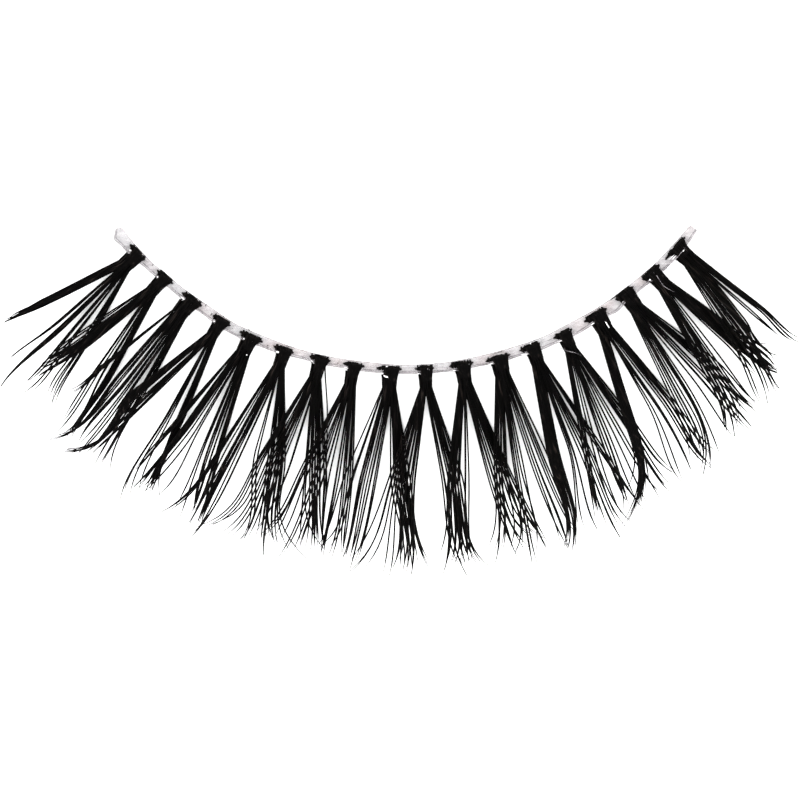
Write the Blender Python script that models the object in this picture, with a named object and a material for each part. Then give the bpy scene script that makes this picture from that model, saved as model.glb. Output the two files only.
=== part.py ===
"""False eyelash strip: a thin clear band with knotted clusters of black lash fibres.

The strip lies as it does on a table. The band's underside is on the ground, the fibres leave it
outwards, touch the ground at their bellies and curl up to their tips. +X runs along the band to
the right, -Y is the way the fibres point, +Z is up. The origin is the middle of the band.
"""
import math
from collections import namedtuple

import bmesh
import bpy

MM = 0.001

# Band
LINE_RADIUS = 18.15 * MM
RIBBON_WIDTH = 0.40 * MM
RIBBON_THICKNESS = 0.16 * MM
RIBBON_BEVEL = 0.05 * MM
FILAMENT_DIAMETER = 0.07 * MM
FILAMENT_SPACING = 0.095 * MM
FILAMENT_SIDES = 5
LEFT_OVERHANG = 1.30 * MM
RIGHT_OVERHANG = 1.36 * MM
SPLAY_LENGTH = 0.90 * MM
SPLAY_WIDTH = 0.14 * MM
CLEARANCE = 0.035 * MM

# Knots
KNOT_PITCH = 1.789 * MM
KNOT_AT_MIDDLE = 8.41
KNOT_WALL = 0.065 * MM
KNOT_CROWN = 0.13 * MM
KNOT_ROUNDING = 0.30
KNOT_CROWN_BACK = 0.09 * MM
KNOT_CROWN_FRONT = 0.05 * MM
KNOT_SHOULDER_SHARE = 0.55
KNOT_FRONT_EDGE = 6

# Fibres
LASH_LENGTH = 10.0 * MM
WAIST_PLACE = 0.90 * MM
WAIST_WIDTH = 0.70 * MM
WAIST_LIFT = 0.11 * MM
WAIST_THICKNESS = 0.26 * MM
LOCK_GAP = 0.02 * MM
LOCK_THICKNESS = 0.13 * MM
TIP_THICKNESS = 0.05 * MM
FIBRE_DIAMETER = 0.085 * MM
LAYER_PITCH = 0.24 * MM
CONTACT_SHARE = 0.38
BELLY_SHARE = 0.50
LAYERED_SHARE = 0.22
TIP_RISE = 4.20 * MM
LOCK_STATIONS = (0.0, 0.13, 0.29, 0.46, 0.61, 0.75, 0.88, 1.0)

# One row for each knot, left to right: how far it is off the even pitch, as a share of that
# pitch, and its length along the band in shares of the pitch
Knot = namedtuple("Knot", "shift length")
KNOTS = (
    Knot(0.00, 0.58), Knot(0.03, 0.53), Knot(0.02, 0.64), Knot(0.03, 0.52),
    Knot(-0.01, 0.62), Knot(-0.02, 0.55), Knot(0.02, 0.60), Knot(-0.02, 0.55),
    Knot(-0.01, 0.62), Knot(-0.02, 0.48), Knot(0.02, 0.60), Knot(0.03, 0.60),
    Knot(0.00, 0.58), Knot(0.01, 0.53), Knot(0.06, 0.62), Knot(0.07, 0.60),
    Knot(0.04, 0.62), Knot(0.00, 0.68),
)

# One row for each lock, left to right, as shares of the lash length.
# belly, tip: how far to the side it is at half the lash length and at its end
# reach: how far out it ends; fibres: how many it holds
# belly_width, tip_width: across its fibres' middles; hook: how late its tip turns
# layer: 0 lies on the ground, 1 over it, 2 over that
Lock = namedtuple("Lock", "belly tip reach fibres belly_width tip_width hook layer")
CLUSTERS = (
    (
        Lock(-0.120, -0.193, 0.72, 8, 0.032, 0.010, 2.0, 2),
        Lock(-0.015, -0.036, 0.78, 3, 0.016, 0.012, 2.0, 1),
        Lock(0.020, 0.028, 0.92, 5, 0.026, 0.003, 2.0, 0),
        Lock(0.087, 0.110, 0.82, 7, 0.045, 0.035, 2.0, 1),
        Lock(0.172, 0.250, 0.79, 7, 0.050, 0.070, 2.0, 0),
    ),
    (
        Lock(-0.083, -0.130, 0.74, 13, 0.060, 0.050, 2.0, 2),
        Lock(0.050, 0.062, 0.74, 4, 0.025, 0.030, 2.0, 1),
        Lock(0.080, 0.110, 0.88, 4, 0.025, 0.035, 2.0, 0),
        Lock(0.130, 0.175, 0.90, 9, 0.035, 0.030, 2.0, 0),
    ),
    (
        Lock(-0.160, -0.200, 0.70, 3, 0.015, 0.020, 2.0, 2),
        Lock(-0.052, -0.120, 0.94, 6, 0.024, 0.040, 2.2, 1),
        Lock(-0.013, -0.035, 0.87, 6, 0.024, 0.030, 2.0, 1),
        Lock(0.022, 0.030, 0.88, 5, 0.030, 0.030, 2.0, 0),
        Lock(0.072, 0.100, 0.90, 7, 0.035, 0.030, 2.0, 0),
    ),
    (
        Lock(-0.146, -0.290, 0.94, 9, 0.034, 0.035, 1.8, 2),
        Lock(-0.105, -0.170, 0.90, 5, 0.016, 0.030, 2.0, 2),
        Lock(0.012, 0.020, 0.99, 5, 0.020, 0.025, 2.0, 1),
        Lock(0.075, 0.105, 0.90, 8, 0.030, 0.030, 2.0, 0),
    ),
    (
        Lock(-0.130, -0.230, 0.82, 3, 0.015, 0.020, 2.0, 2),
        Lock(-0.100, -0.150, 0.88, 9, 0.035, 0.020, 2.0, 1),
        Lock(-0.062, -0.100, 0.86, 3, 0.015, 0.030, 2.0, 2),
        Lock(0.014, 0.020, 0.93, 5, 0.020, 0.030, 2.0, 1),
        Lock(0.044, 0.060, 0.95, 5, 0.020, 0.020, 2.0, 0),
        Lock(0.083, 0.105, 0.89, 6, 0.028, 0.035, 2.0, 0),
    ),
    (
        Lock(-0.125, -0.280, 0.94, 4, 0.020, 0.030, 2.0, 2),
        Lock(-0.093, -0.150, 0.94, 5, 0.030, 0.030, 2.0, 1),
        Lock(-0.052, -0.115, 1.00, 6, 0.035, 0.015, 2.5, 2),
        Lock(0.040, 0.120, 0.93, 4, 0.015, 0.020, 1.5, 1),
        Lock(0.110, 0.200, 0.90, 9, 0.050, 0.040, 2.0, 0),
        Lock(0.187, 0.390, 0.94, 3, 0.020, 0.040, 2.0, 0),
    ),
    (
        Lock(-0.137, -0.330, 0.92, 4, 0.018, 0.045, 2.6, 2),
        Lock(-0.101, -0.240, 0.94, 4, 0.020, 0.040, 2.6, 2),
        Lock(-0.068, -0.160, 0.92, 4, 0.020, 0.040, 2.4, 2),
        Lock(-0.026, -0.090, 0.90, 3, 0.012, 0.030, 2.0, 1),
        Lock(0.057, 0.110, 0.86, 4, 0.020, 0.030, 2.0, 1),
        Lock(0.094, 0.180, 0.90, 8, 0.030, 0.040, 2.2, 0),
        Lock(0.135, 0.240, 0.89, 6, 0.025, 0.040, 2.5, 0),
    ),
    (
        Lock(-0.140, -0.290, 0.88, 4, 0.020, 0.060, 2.2, 2),
        Lock(-0.099, -0.220, 0.96, 3, 0.015, 0.030, 2.0, 2),
        Lock(-0.060, -0.080, 0.87, 4, 0.025, 0.030, 2.0, 1),
        Lock(-0.028, -0.022, 0.94, 3, 0.012, 0.010, 2.0, 1),
        Lock(0.008, 0.025, 0.94, 5, 0.015, 0.010, 2.0, 0),
        Lock(0.055, 0.078, 0.92, 7, 0.035, 0.030, 2.0, 0),
    ),
    (
        Lock(-0.088, -0.160, 0.93, 6, 0.022, 0.020, 2.0, 2),
        Lock(-0.052, -0.125, 0.97, 8, 0.024, 0.018, 2.0, 2),
        Lock(0.055, 0.110, 0.96, 6, 0.025, 0.030, 2.0, 1),
        Lock(0.092, 0.158, 0.93, 7, 0.030, 0.025, 2.0, 0),
        Lock(0.128, 0.210, 0.92, 5, 0.020, 0.020, 3.0, 0),
    ),
    (
        Lock(-0.185, -0.370, 0.96, 3, 0.015, 0.040, 1.8, 2),
        Lock(-0.120, -0.190, 0.96, 5, 0.025, 0.040, 2.0, 2),
        Lock(-0.068, -0.050, 0.93, 6, 0.025, 0.020, 3.0, 2),
        Lock(0.060, 0.125, 1.02, 5, 0.020, 0.030, 1.8, 1),
        Lock(0.093, 0.180, 0.94, 7, 0.025, 0.030, 2.0, 0),
        Lock(0.128, 0.270, 0.99, 3, 0.015, 0.010, 2.2, 0),
    ),
    (
        Lock(-0.128, -0.250, 0.90, 5, 0.020, 0.040, 2.2, 2),
        Lock(-0.095, -0.190, 0.95, 6, 0.025, 0.040, 2.0, 2),
        Lock(-0.056, -0.095, 0.89, 4, 0.025, 0.015, 2.0, 1),
        Lock(0.038, 0.110, 0.94, 4, 0.015, 0.020, 2.0, 1),
        Lock(0.080, 0.157, 0.90, 5, 0.025, 0.020, 2.0, 0),
        Lock(0.120, 0.240, 0.92, 8, 0.030, 0.050, 2.0, 0),
    ),
    (
        Lock(-0.132, -0.250, 0.91, 4, 0.020, 0.040, 2.2, 2),
        Lock(-0.102, -0.165, 0.90, 5, 0.020, 0.040, 2.0, 2),
        Lock(-0.045, -0.085, 1.00, 6, 0.030, 0.025, 1.5, 1),
        Lock(-0.005, -0.020, 0.90, 4, 0.012, 0.030, 2.0, 1),
        Lock(0.046, 0.095, 0.975, 5, 0.020, 0.020, 5.0, 0),
        Lock(0.080, 0.128, 0.96, 4, 0.018, 0.020, 3.0, 0),
        Lock(0.113, 0.160, 0.89, 3, 0.012, 0.010, 2.0, 0),
    ),
    (
        Lock(-0.068, -0.125, 0.96, 14, 0.060, 0.030, 1.5, 2),
        Lock(0.015, -0.010, 0.95, 3, 0.015, 0.015, 2.0, 1),
        Lock(0.064, 0.087, 1.03, 4, 0.015, 0.015, 2.0, 1),
        Lock(0.095, 0.145, 0.97, 3, 0.015, 0.020, 3.0, 0),
        Lock(0.131, 0.220, 0.92, 8, 0.030, 0.040, 2.0, 0),
    ),
    (
        Lock(-0.140, -0.240, 0.87, 7, 0.030, 0.050, 2.0, 2),
        Lock(-0.057, -0.090, 0.88, 6, 0.030, 0.040, 2.0, 2),
        Lock(-0.012, -0.030, 0.89, 3, 0.015, 0.020, 2.0, 1),
        Lock(0.070, 0.150, 0.86, 7, 0.025, 0.040, 2.0, 1),
        Lock(0.104, 0.125, 0.93, 5, 0.022, 0.025, 2.0, 0),
    ),
    (
        Lock(-0.125, -0.330, 0.93, 6, 0.022, 0.050, 2.0, 2),
        Lock(-0.090, -0.240, 0.94, 6, 0.022, 0.040, 2.0, 2),
        Lock(0.012, 0.005, 0.89, 5, 0.020, 0.030, 2.0, 1),
        Lock(0.050, 0.072, 0.89, 5, 0.018, 0.020, 2.0, 1),
        Lock(0.086, 0.110, 0.92, 7, 0.028, 0.030, 2.0, 0),
    ),
    (
        Lock(-0.131, -0.235, 0.92, 4, 0.018, 0.030, 2.0, 2),
        Lock(-0.095, -0.190, 0.93, 5, 0.025, 0.020, 2.0, 2),
        Lock(-0.058, -0.155, 0.92, 6, 0.025, 0.020, 2.0, 2),
        Lock(-0.022, -0.115, 0.89, 3, 0.015, 0.020, 2.0, 1),
        Lock(0.050, 0.060, 0.86, 4, 0.022, 0.030, 2.0, 1),
        Lock(0.095, 0.105, 0.89, 7, 0.030, 0.030, 2.0, 0),
        Lock(0.146, 0.180, 0.82, 4, 0.018, 0.030, 2.0, 0),
    ),
    (
        Lock(-0.135, -0.250, 0.84, 6, 0.018, 0.035, 2.0, 2),
        Lock(-0.096, -0.180, 0.87, 6, 0.022, 0.030, 2.0, 2),
        Lock(-0.063, -0.105, 0.83, 5, 0.022, 0.025, 2.0, 2),
        Lock(0.036, 0.038, 0.69, 7, 0.025, 0.030, 2.0, 1),
        Lock(0.080, 0.105, 0.76, 9, 0.032, 0.030, 2.0, 0),
        Lock(0.122, 0.155, 0.70, 4, 0.018, 0.020, 2.0, 0),
    ),
    (
        Lock(-0.160, -0.290, 0.80, 4, 0.015, 0.030, 2.0, 2),
        Lock(-0.126, -0.240, 0.83, 4, 0.015, 0.025, 2.0, 2),
        Lock(-0.090, -0.168, 0.83, 9, 0.028, 0.025, 2.0, 2),
        Lock(-0.056, -0.085, 0.70, 4, 0.015, 0.025, 2.0, 2),
        Lock(0.010, 0.010, 0.66, 3, 0.012, 0.010, 2.0, 1),
        Lock(0.052, 0.050, 0.76, 10, 0.028, 0.020, 2.0, 0),
    ),
)


def material(name, colour, roughness, alpha=1.0):
    """A plastic finish: its colour, how matt it is and how solid it looks."""
    made = bpy.data.materials.new(name)
    made.use_nodes = True
    shader = made.node_tree.nodes["Principled BSDF"]
    shader.inputs["Base Color"].default_value = (*colour, 1.0)
    shader.inputs["Roughness"].default_value = roughness
    shader.inputs["Metallic"].default_value = 0.0
    shader.inputs["Alpha"].default_value = alpha
    return made


def add_object(name, bm, finish):
    """Turns a finished bmesh into a named object with its material."""
    bmesh.ops.recalc_face_normals(bm, faces=bm.faces)
    mesh = bpy.data.meshes.new(name)
    bm.to_mesh(mesh)
    bm.free()
    mesh.materials.append(finish)
    made = bpy.data.objects.new(name, mesh)
    bpy.context.collection.objects.link(made)
    return made


def arc_point(angle, outward, height):
    """A point beside the band's centre line, measured from the middle of the band."""
    radius = LINE_RADIUS + outward
    return (radius * math.sin(angle), LINE_RADIUS - radius * math.cos(angle), height)


def knot_angle(index):
    """Where a knot sits on the band's curve."""
    return (index - KNOT_AT_MIDDLE + KNOTS[index].shift) * KNOT_PITCH / LINE_RADIUS


def knot_half(index):
    """Half a knot's length along the band."""
    return KNOTS[index].length * KNOT_PITCH / 2


def band_ends():
    """The angles where the band is cut at its left and right."""
    left = knot_angle(0) - LEFT_OVERHANG / LINE_RADIUS
    right = knot_angle(len(KNOTS) - 1) + RIGHT_OVERHANG / LINE_RADIUS
    return left, right


def sweep(bm, rings):
    """Joins rings of points into one closed tube with flat ends."""
    rows = [[bm.verts.new(point) for point in ring] for ring in rings]
    count = len(rows[0])
    for row, following in zip(rows, rows[1:]):
        for k in range(count):
            after = (k + 1) % count
            bm.faces.new((row[k], row[after], following[after], following[k]))
    bm.faces.new(rows[0])
    bm.faces.new(list(reversed(rows[-1])))


def make_ribbon(finish):
    """The flat clear band that the knots straddle."""
    half = RIBBON_WIDTH / 2
    top = RIBBON_THICKNESS
    outline = (
        (-half, 0.0), (half, 0.0), (half, top - RIBBON_BEVEL),
        (half - RIBBON_BEVEL, top), (RIBBON_BEVEL - half, top), (-half, top - RIBBON_BEVEL),
    )
    left, right = band_ends()
    steps = 2 * len(KNOTS)
    bm = bmesh.new()
    rings = []
    for step in range(steps + 1):
        angle = left + (right - left) * step / steps
        rings.append([arc_point(angle, outward, height) for outward, height in outline])
    sweep(bm, rings)
    return add_object("band_ribbon", bm, finish)


def saddle_top():
    """How high a knot's flat front is, where the lower filaments cross it."""
    return RIBBON_THICKNESS + CLEARANCE + KNOT_WALL


def splay(angle):
    """How far along its free end a filament is, from 0 at the knots to 1 at the cut."""
    left, right = band_ends()
    nearest = min(angle - left, right - angle) * LINE_RADIUS
    return min(1.0, max(0.0, 1.0 - nearest / SPLAY_LENGTH)) ** 2


def filament_ring(angle, outward, height):
    """A filament's round section at one place along the band."""
    radius = FILAMENT_DIAMETER / 2
    ring = []
    for side in range(FILAMENT_SIDES):
        turn = 2 * math.pi * (side + 0.25) / FILAMENT_SIDES
        ring.append(arc_point(angle, outward + radius * math.cos(turn), height + radius * math.sin(turn)))
    return ring


def make_lower_filament(number, outward, trim, finish):
    """A filament that lies on the ribbon and climbs over the front of each knot."""
    rise = FILAMENT_DIAMETER / 2 + CLEARANCE
    low = RIBBON_THICKNESS + rise
    high = saddle_top() + rise
    ramp = FILAMENT_DIAMETER
    left, right = band_ends()
    places = [(left + trim / LINE_RADIUS, low)]
    for index in range(len(KNOTS)):
        middle = knot_angle(index)
        shelf = (knot_half(index) + ramp) / LINE_RADIUS
        foot = shelf + ramp / LINE_RADIUS
        places += [(middle - foot, low), (middle - shelf, high), (middle + shelf, high), (middle + foot, low)]
    places.append((right - trim / LINE_RADIUS, low))
    bm = bmesh.new()
    rings = []
    for angle, height in places:
        aside = outward + number * SPLAY_WIDTH * splay(angle)
        rings.append(filament_ring(angle, aside, height))
    sweep(bm, rings)
    return add_object(f"lower_filament_{number}", bm, finish)


def make_upper_filament(finish):
    """The filament along the ribbon's back edge, behind the knots."""
    outward = -(RIBBON_WIDTH / 2 + CLEARANCE + KNOT_WALL + CLEARANCE + FILAMENT_DIAMETER / 2)
    left, right = band_ends()
    steps = 2 * len(KNOTS)
    bm = bmesh.new()
    rings = []
    for step in range(steps + 1):
        angle = left + (right - left) * step / steps
        aside = outward - SPLAY_WIDTH * splay(angle) / 2
        rings.append(filament_ring(angle, aside, RIBBON_THICKNESS / 2))
    sweep(bm, rings)
    return add_object("upper_filament", bm, finish)


def ground_height(side, outward):
    """How high the lowest layer's underside is, from its distance to the band's centre line."""
    distance = math.hypot(side, LINE_RADIUS + outward) - LINE_RADIUS
    contact = CONTACT_SHARE * LASH_LENGTH
    if distance <= contact:
        return WAIST_LIFT * (1 - distance / contact) ** 2
    return TIP_RISE * ((distance - contact) / (LASH_LENGTH - contact)) ** 2


def lock_side(lock, root, outward):
    """How far to the side a lock's middle is: straight to its belly, then turning to its tip."""
    reach = lock.reach * LASH_LENGTH
    belly = BELLY_SHARE * LASH_LENGTH
    slope = (lock.belly * LASH_LENGTH - root) / (belly - WAIST_PLACE)
    straight = root + slope * (outward - WAIST_PLACE)
    if outward <= belly:
        return straight
    turn = lock.tip * LASH_LENGTH - root - slope * (reach - WAIST_PLACE)
    return straight + turn * ((outward - belly) / (reach - belly)) ** lock.hook


def lock_width(lock, root_width, outward):
    """A lock's width at a distance from the band."""
    belly = BELLY_SHARE * LASH_LENGTH
    belly_width = lock.belly_width * LASH_LENGTH + FIBRE_DIAMETER
    if outward <= belly:
        share = (outward - WAIST_PLACE) / (belly - WAIST_PLACE)
        return root_width + (belly_width - root_width) * share
    tip_width = lock.tip_width * LASH_LENGTH / 2 + FIBRE_DIAMETER / 2
    share = (outward - belly) / (lock.reach * LASH_LENGTH - belly)
    return belly_width + (tip_width - belly_width) * share


def lock_ring(lock, root, root_width, outward):
    """The four corners of a lock's section, from its left top round to its left underside."""
    side = lock_side(lock, root, outward)
    half = lock_width(lock, root_width, outward) / 2
    layered = min(1.0, (outward - WAIST_PLACE) / (LAYERED_SHARE * LASH_LENGTH - WAIST_PLACE))
    out_share = (outward - WAIST_PLACE) / (lock.reach * LASH_LENGTH - WAIST_PLACE)
    thin = LOCK_THICKNESS + (TIP_THICKNESS - LOCK_THICKNESS) * out_share
    thickness = WAIST_THICKNESS + (thin - WAIST_THICKNESS) * layered
    ring = []
    for edge, above in ((-half, True), (half, True), (half, False), (-half, False)):
        under = ground_height(side + edge, outward)
        base = under + lock.layer * LAYER_PITCH * layered
        ring.append((side + edge, -outward, base + (thickness if above else 0.0)))
    return ring


def knot_outline(share):
    """The saddle's outline across the band, as distance out and height, at a share of its half length.

    Edge KNOT_FRONT_EDGE of the outline is the flat front that the waist grows from.
    """
    half = RIBBON_WIDTH / 2
    inside = half + CLEARANCE
    outside = inside + KNOT_WALL
    ceiling = RIBBON_THICKNESS + CLEARANCE
    rise = KNOT_CROWN * (1 - KNOT_ROUNDING * abs(share) ** 3)
    crown = saddle_top() + rise
    shoulder = saddle_top() + rise * KNOT_SHOULDER_SHARE
    lip = CLEARANCE / 2
    return (
        (-outside, lip), (-outside, saddle_top()), (-half, shoulder), (-KNOT_CROWN_BACK, crown),
        (0.0, crown), (KNOT_CROWN_FRONT, saddle_top()), (outside, saddle_top()), (outside, lip),
        (inside, lip), (inside, ceiling), (-inside, ceiling), (-inside, lip),
    )


def make_cluster(index, finish):
    """A knot that straddles the ribbon, its waist in front of the band, and its locks, in one solid."""
    locks = CLUSTERS[index]
    fibres = sum(lock.fibres for lock in locks)
    half = knot_half(index)
    bm = bmesh.new()

    # The knot's sections stand where the locks' cells meet
    cells = [0.0]
    for lock in locks:
        cells.append(cells[-1] + lock.fibres / fibres)
    rows = []
    for cell in cells:
        share = 2 * cell - 1
        row = [bm.verts.new((share * half, -outward, height)) for outward, height in knot_outline(share)]
        rows.append(row)
    count = len(rows[0])
    front = KNOT_FRONT_EDGE
    for row, following in zip(rows, rows[1:]):
        for k in range(count):
            if k == front:
                continue
            after = (k + 1) % count
            bm.faces.new((row[k], row[after], following[after], following[k]))
    bm.faces.new(rows[0])
    bm.faces.new(list(reversed(rows[-1])))

    # The waist spreads each cell of the knot's front into the root of one lock
    roots = []
    for lock, low, high in zip(locks, cells, cells[1:]):
        width = WAIST_WIDTH * (high - low) - LOCK_GAP
        root = WAIST_WIDTH * ((low + high) / 2 - 0.5)
        ring = [bm.verts.new(point) for point in lock_ring(lock, root, width, WAIST_PLACE)]
        roots.append((root, width, ring))
    for k, (root, width, ring) in enumerate(roots):
        left = rows[k]
        right = rows[k + 1]
        bm.faces.new((left[front], right[front], ring[1], ring[0]))
        bm.faces.new((left[front + 1], right[front + 1], ring[2], ring[3]))
        if k > 0:
            before = roots[k - 1][2]
            bm.faces.new((left[front], ring[0], before[1]))
            bm.faces.new((left[front + 1], ring[3], before[2]))
            bm.faces.new((before[1], ring[0], ring[3], before[2]))
    first = roots[0][2]
    last = roots[-1][2]
    bm.faces.new((rows[0][front], rows[0][front + 1], first[3], first[0]))
    bm.faces.new((rows[-1][front], rows[-1][front + 1], last[2], last[1]))

    # Each lock grows from its root to its tip
    for lock, (root, width, ring) in zip(locks, roots):
        length = lock.reach * LASH_LENGTH - WAIST_PLACE
        for station in LOCK_STATIONS[1:]:
            corners = lock_ring(lock, root, width, WAIST_PLACE + station * length)
            following = [bm.verts.new(point) for point in corners]
            for k in range(4):
                after = (k + 1) % 4
                bm.faces.new((ring[k], ring[after], following[after], following[k]))
            ring = following
        bm.faces.new(ring)

    made = add_object(f"lash_cluster_{index + 1:02d}", bm, finish)
    angle = knot_angle(index)
    made.location = arc_point(angle, 0.0, 0.0)
    made.rotation_euler = (0.0, 0.0, angle)
    return made


def main():
    for old in list(bpy.data.objects):
        bpy.data.objects.remove(old)
    clear = material("clear_nylon", (0.86, 0.84, 0.86), 0.25, 0.5)
    black = material("black_lash_fibre", (0.012, 0.011, 0.011), 0.35)
    make_ribbon(clear)
    make_upper_filament(clear)
    first = RIBBON_WIDTH / 2 - FILAMENT_DIAMETER
    for number in (1, 2):
        make_lower_filament(number, first + (number - 1) * FILAMENT_SPACING, number * CLEARANCE, clear)
    for index in range(len(KNOTS)):
        make_cluster(index, black)


main()
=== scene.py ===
"""Looks of the false eyelash strip: single fibres, wrapped knots, an uneven clear film and its threads.

The strip lies on a pale table and is seen from straight above, as in the photograph. A cluster's own
frame has its side axis along the band to the right and its outward axis away from the band, and starts
on the band's centre line. Outward points down in the view.
"""

import math
import random
from collections import namedtuple

import bpy
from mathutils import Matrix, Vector


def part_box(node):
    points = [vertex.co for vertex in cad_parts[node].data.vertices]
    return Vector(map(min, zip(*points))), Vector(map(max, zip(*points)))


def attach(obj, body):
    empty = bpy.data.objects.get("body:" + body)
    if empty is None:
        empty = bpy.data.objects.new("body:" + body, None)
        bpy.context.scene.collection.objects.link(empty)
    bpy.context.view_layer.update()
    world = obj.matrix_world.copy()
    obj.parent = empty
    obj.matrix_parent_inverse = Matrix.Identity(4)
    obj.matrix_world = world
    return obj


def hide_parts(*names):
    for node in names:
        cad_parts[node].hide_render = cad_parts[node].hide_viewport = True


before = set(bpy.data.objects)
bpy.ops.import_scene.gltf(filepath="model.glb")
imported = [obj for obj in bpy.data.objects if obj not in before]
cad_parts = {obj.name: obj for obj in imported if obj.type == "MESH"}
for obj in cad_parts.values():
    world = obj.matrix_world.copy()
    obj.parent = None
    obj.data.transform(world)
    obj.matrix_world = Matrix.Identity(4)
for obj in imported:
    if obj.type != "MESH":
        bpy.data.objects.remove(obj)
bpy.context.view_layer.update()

MM = 0.001
RIGHT = Vector((1, 0, 0))
BACK = Vector((0, 1, 0))
UP = Vector((0, 0, 1))


def table(kind, columns, rows):
    """A table with named columns."""
    named = namedtuple(kind, columns)
    return [named(*row) for row in rows]


# The band's curve and the knots along it, as in the part
LINE_RADIUS = 18.15 * MM
KNOT_PITCH = 1.789 * MM
KNOT_AT_MIDDLE = 8.41
RIBBON_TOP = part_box("band_ribbon")[1].z

# The fibres' heights, as in the part
LASH_LENGTH = 10.0 * MM
WAIST_PLACE = 0.90 * MM
WAIST_LIFT = 0.11 * MM
WAIST_THICKNESS = 0.26 * MM
LOCK_THICKNESS = 0.13 * MM
TIP_THICKNESS = 0.05 * MM
LAYER_PITCH = 0.24 * MM
CONTACT_SHARE = 0.38
BELLY_PLACE = 5.0 * MM
LATE_PLACE = 7.0 * MM
LAYERED_SHARE = 0.22
TIP_RISE = 4.20 * MM

# Fibres. SPREAD_JITTER and LOCK_CROWDING are shares of the even spacing of a lock's fibres. TIP_SPREAD and
# TIP_WANDER are shares of half its fan. A lock that ends nearer than SHORT_REACH is a short one
FIBRE_RADIUS = 0.042 * MM
FIBRE_SIDES = 6
FIBRE_STEPS = 24
FIBRE_WAVE = 0.010 * MM
WAVE_TURN = 7
WAVE_ONSET = 3
ROOT_SLIM = 0.84
SLIM_TO = 0.50
TAPER_FROM = 0.90
TAPER_END = 0.34
TAPER_POWER = 1.2
RISE_VARIETY = 0.08
TIP_STAGGER = 0.25 * MM
TIP_PAST = 0.28 * MM
SPREAD_JITTER = 0.25
LOCK_CROWDING = 0.9
SHORT_REACH = 7.6 * MM
LATE_WIDTH_SHARE = 0.6
TIP_SPREAD = 0.8
TIP_WANDER = 0.25
LOW_DEPTH = 0.42

# Knots
CROWN_SPAN = 0.86
HEAD_STEPS = 3
CORE_RINGS = 14
CORE_SIDES = 12
CORE_INSET = 0.03 * MM
CORE_MIDDLE = 0.175 * MM
CORE_HALF_HEIGHT = 0.145 * MM
CORE_SQUARENESS = 3.5
CORE_LUMPS = (0.84, 1.12)
LOOP_STEPS = 14
LOOP_ROWS = 3
LOOP_PITCH = 0.055 * MM
LOOP_RADIUS = 0.040 * MM
LOOP_ENDS = (-0.05 * MM, 0.12 * MM)
LOOP_BENDS = (1.8, 3.2)
LOOP_GIRTHS = (0.90, 1.15)
FRONT_LOOP_HEIGHT = 0.30 * MM
BACK_LOOP_HEIGHT = 0.24 * MM
LOOP_LIFT = 0.03 * MM
LOOP_FOOT = 0.09 * MM
LOOP_WOBBLE = 0.035 * MM
WRAPS = 15
WRAP_FIRST = -0.50
WRAP_LAST = 0.98
WRAP_JITTER = 0.06
WRAP_START_HEIGHT = 0.30 * MM

# Film and threads
FILM_HALF_STEPS = 6
FILM_STEP = 0.10 * MM
FILM_EDGE = 0.02 * MM
FILM_JITTER = 0.008 * MM
FILM_DIPS = (0.96, 1.0)
THREAD_RADIUS = 0.030 * MM
THREAD_SIDES = 8
THREAD_STEP = 0.12 * MM
THREAD_OVER_FILM = 0.145 * MM
THREAD_OVER_KNOT = 0.330 * MM
THREAD_WOBBLE = 0.015 * MM
THREAD_JITTER = 0.003 * MM
FRONT_THREAD_INSETS = (0.10 * MM, 0.015 * MM)
FRONT_THREAD_GIRTHS = (0.85, 1.1)
FRONT_THREAD_TURN = 5.3
BACK_THREAD_HEIGHT = 0.06 * MM
BACK_THREAD_GIRTHS = (0.6, 0.9)
BACK_THREAD_TURN = 3.1
BACK_THREAD_WOBBLE = 0.012 * MM
KNOT_HALF_LENGTH = 0.44 * MM
THREAD_CLIMB = 0.18 * MM

# Drops of painted highlight and specks
DROP_STEPS = 8
PAINTED_GLINT_HEIGHT = 0.35 * MM
PAINTED_GLINT_HALF_HEIGHT = 0.03 * MM
SPECK_PLACE = 0.15 * MM
SPECK_HALF_HEIGHT = 0.02 * MM

# The photograph's frame
VIEW_WIDTH = 40.0 * MM
VIEW_CENTRE_X = -0.205 * MM
VIEW_CENTRE_Y = -1.485 * MM
FOCUS_HEIGHT = 0.8 * MM
LENS = 1000.0
SENSOR = 36.0
FLOOR_SIZE = 8.0
FLOOR_GAP = 0.01 * MM

# Light. The opening's edge and middle are heights on a sphere of radius 1
OPENING_EDGE = 0.70
OPENING_MIDDLE = 0.90
TENT_LIGHT = 4.1
OPENING_LIGHT = 0.9

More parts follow.
